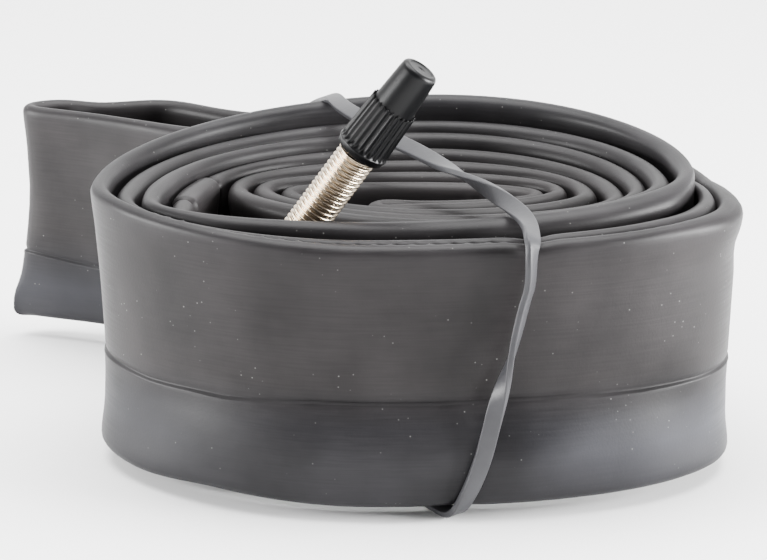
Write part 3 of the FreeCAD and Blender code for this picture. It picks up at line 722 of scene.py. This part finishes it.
def butyl_material():
    """Matte butyl: uneven grey, drawn-out streaks along the tube and white specks, with a painted reflection
    tint that changes with height and a painted highlight, a light bluish haze low on both sides of the front.
    """
    made, tree, shader = material("butyl_looks", (0.03, 0.029, 0.03), 0.5, Specular_IOR_Level=0.12)
    where = tree.nodes.new("ShaderNodeTexCoord").outputs["Object"]
    route_uv = node(tree, "ShaderNodeUVMap", uv_map="along").outputs["UV"]
    stretched = node(tree, "ShaderNodeMapping")
    stretched.inputs["Scale"].default_value = (2.5, 60.0, 1.0)
    tree.links.new(route_uv, stretched.inputs["Vector"])
    streaks = noise(tree, stretched.outputs["Vector"], 5.0, 4.0)
    patches = noise(tree, where, 70.0, 4.0)
    tone = ramp(tree, patches, [(0.3, (0.0098, 0.0093, 0.0095)), (0.7, (0.0215, 0.0204, 0.0208))])
    streak_tone = ramp(tree, streaks, [(0.3, (0.72, 0.72, 0.73)), (0.7, (1, 1, 1))])
    streaked = mixed(tree, "MULTIPLY", 0.85, tone, streak_tone)
    parts = tree.nodes.new("ShaderNodeSeparateXYZ")
    tree.links.new(where, parts.inputs["Vector"])
    height = node(tree, "ShaderNodeMapRange", From_Min=0.0, From_Max=0.05)
    tree.links.new(parts.outputs["Z"], height.inputs["Value"])
    # Painted reflection tint: the rubber's colour is bluish low down and at the top edge and warmer in
    # between, standing in for reflected light.
    painted_reflection_tint = ramp(tree, height.outputs["Result"], [(0.28, (0.91, 0.93, 1.0)), (0.40, (1.0, 0.95, 0.94)),
                                                 (0.75, (1.0, 0.95, 0.95)), (0.9, (0.93, 0.94, 1.0))])
    streaked = mixed(tree, "MULTIPLY", 1.0, streaked, painted_reflection_tint)
    # Painted highlight: in patches, the colour goes towards a light bluish grey in a band about 10 mm up, on
    # the left and right of the front, where side light reflects.
    width = node(tree, "ShaderNodeMapRange", From_Min=-0.06, From_Max=0.06)
    tree.links.new(parts.outputs["X"], width.inputs["Value"])
    painted_highlight_high = ramp(tree, height.outputs["Result"],
                     [(0.04, (0, 0, 0)), (0.19, (1, 1, 1)), (0.31, (0, 0, 0))])
    painted_highlight_wide = ramp(tree, width.outputs["Result"],
                     [(0.1, (0.7, 0.7, 0.7)), (0.4, (0, 0, 0)), (0.7, (0, 0, 0)), (0.82, (1, 1, 1))])
    painted_highlight_patches = ramp(tree, noise(tree, where, 45.0, 4.0), [(0.3, (0.35, 0.35, 0.35)), (0.65, (1, 1, 1))])
    painted_highlight = mixed(tree, "MULTIPLY", 1.0, mixed(tree, "MULTIPLY", 1.0, painted_highlight_high, painted_highlight_wide), painted_highlight_patches)
    streaked = mixed(tree, "MIX", painted_highlight, streaked, (0.033, 0.034, 0.040))
    cells = node(tree, "ShaderNodeTexVoronoi", Scale=680.0)
    tree.links.new(where, cells.inputs["Vector"])
    dots = ramp(tree, cells.outputs["Distance"], [(0.0, (1, 1, 1)), (0.095, (0, 0, 0))])
    gate = ramp(tree, noise(tree, where, 160.0, 2.0), [(0.48, (0, 0, 0)), (0.56, (1, 1, 1))])
    specks = mixed(tree, "MULTIPLY", 1.0, dots, gate)
    tree.links.new(mixed(tree, "MIX", specks, streaked, (0.16, 0.16, 0.152)), shader.inputs["Base Color"])
    grain = noise(tree, where, 2600.0, 2.0)
    dullness = ramp(tree, streaks, [(0.2, (0.38, 0.38, 0.38)), (0.8, (0.5, 0.5, 0.5))])
    tree.links.new(dullness, shader.inputs["Roughness"])
    bumped(tree, shader, grain, 0.07, 0.0002)
    return made


def plain_material(name, base, roughness, metallic=0.0, grain=(900.0, 0.05), **sockets):
    """One colour with a faint procedural unevenness."""
    made, tree, shader = material(name, base, roughness, metallic, **sockets)
    where = tree.nodes.new("ShaderNodeTexCoord").outputs["Object"]
    low = tuple(c * 0.86 for c in base)
    high = tuple(min(c * 1.1, 1) for c in base)
    uneven = ramp(tree, noise(tree, where, 260.0, 4.0), [(0.3, low), (0.7, high)])
    tree.links.new(uneven, shader.inputs["Base Color"])
    bumped(tree, shader, noise(tree, where, grain[0], 3.0), grain[1], 0.0002)
    return made


LOOKS = {
    "butyl": butyl_material(),
    "base_rubber": plain_material("base_rubber_looks", (0.035, 0.034, 0.036), 0.6),
    "band_rubber": plain_material("band_rubber_looks", (0.034, 0.034, 0.037), 0.36, grain=(1800.0, 0.1),
                                  Specular_IOR_Level=0.2),
    "seal_rubber": plain_material("seal_rubber_looks", (0.02, 0.02, 0.02), 0.5),
    "nickel": plain_material("nickel_looks", (0.54, 0.45, 0.34), 0.25, 1.0, grain=(700.0, 0.03)),
    "brass": plain_material("brass_looks", (0.78, 0.62, 0.36), 0.25, 1.0),
    "cap_plastic": plain_material("cap_looks", (0.003, 0.003, 0.0033), 0.34, grain=(1500.0, 0.04),
                                  Specular_IOR_Level=0.14),
}


def finished(made, body, slot, *nodes):
    """Gives a piece its body, its material and the CAD nodes that it stands for."""
    made.data.materials.clear()
    made.data.materials.append(LOOKS[slot])
    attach(made, body)
    if nodes:
        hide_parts(*nodes)
    return made


finished(make_tube(), "roll", "butyl", "tube")
finished(make_band(), "roll", "band_rubber", "rubber_band")
finished(make_stem(), "roll", "nickel", "valve_stem")
finished(make_core(), "roll", "nickel", "core_body")
finished(make_lock_nut(), "lock_nut", "nickel", "lock_nut")
finished(make_pin(), "valve_pin", "nickel", "valve_pin")
finished(make_rim_nut(), "rim_nut", "nickel", "rim_nut")
finished(make_cap(), "dust_cap", "cap_plastic", "dust_cap")
kept_slots = {"valve_base": "base_rubber", "core_gasket": "seal_rubber", "pin_seal": "seal_rubber"}
for name, slot in kept_slots.items():
    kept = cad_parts[name]
    kept.data.materials.clear()
    kept.data.materials.append(LOOKS[slot])

# ---------------------------------------------------------------- floor, light and camera
floor_mesh = bpy.data.meshes.new("floor")
floor_corners = [(-3.0, -3.0, 0), (3.0, -3.0, 0), (3.0, 3.0, 0), (-3.0, 3.0, 0)]
floor_mesh.from_pydata(floor_corners, [], [(0, 1, 2, 3)])
floor = bpy.data.objects.new("floor", floor_mesh)
floor_mesh.materials.append(material("floor_looks", (0.93, 0.93, 0.93), 0.9)[0])
bpy.context.scene.collection.objects.link(floor)

world = bpy.data.worlds.new("studio")
world.use_nodes = True
backdrop = world.node_tree.nodes["Background"]
backdrop.inputs["Strength"].default_value = 1.9
direction = world.node_tree.nodes.new("ShaderNodeTexCoord").outputs["Generated"]
spread = node(world.node_tree, "ShaderNodeMapping")
spread.inputs["Scale"].default_value = (0.5, 0.5, 0.5)
spread.inputs["Location"].default_value = (0.5, 0.5, 0.5)
world.node_tree.links.new(direction, spread.inputs["Vector"])
axes = world.node_tree.nodes.new("ShaderNodeSeparateXYZ")
world.node_tree.links.new(spread.outputs["Vector"], axes.inputs["Vector"])
front_to_back = ramp(world.node_tree, axes.outputs["Y"],
                     [(0.05, (0.05, 0.05, 0.055)), (0.35, (0.2, 0.2, 0.21)), (0.6, (1, 1, 1))])
world.node_tree.links.new(front_to_back, backdrop.inputs["Color"])
bpy.context.scene.world = world


def area_light(name, place, target, size_m, power, colour=(1, 1, 1)):
    data = bpy.data.lights.new(name, "AREA")
    data.shape = "RECTANGLE"
    data.size, data.size_y = size_m
    data.energy = power
    data.color = colour
    made = bpy.data.objects.new(name, data)
    made.location = place
    direction = Vector(target) - Vector(place)
    made.rotation_euler = direction.to_track_quat("-Z", "Y").to_euler()
    bpy.context.scene.collection.objects.link(made)
    return made


area_light("top_light", (0.0, 0.12, 0.8), (0, 0.02, 0.03), (0.9, 0.7), 27.0)
area_light("left_light", (-0.62, -0.08, 0.13), (0, 0, 0.02), (0.4, 0.25), 14.0)
area_light("right_light", (0.62, -0.1, 0.13), (0, 0, 0.02), (0.4, 0.25), 25.0)
area_light("back_light", (0.0, 0.8, 0.34), (0, 0.02, 0.03), (1.2, 0.4), 2.5)

camera_data = bpy.data.cameras.new("camera")
camera_data.lens = 150.2
camera_data.sensor_width = 36.0
camera_data.clip_start = 0.01
camera = bpy.data.objects.new("camera", camera_data)
camera.location = np.array((0.0, -438.4, 155.3)) * MM + SHIFT * MM
camera.rotation_euler = (math.radians(90 - 15.57), 0, 0)
bpy.context.scene.collection.objects.link(camera)
bpy.context.scene.camera = camera
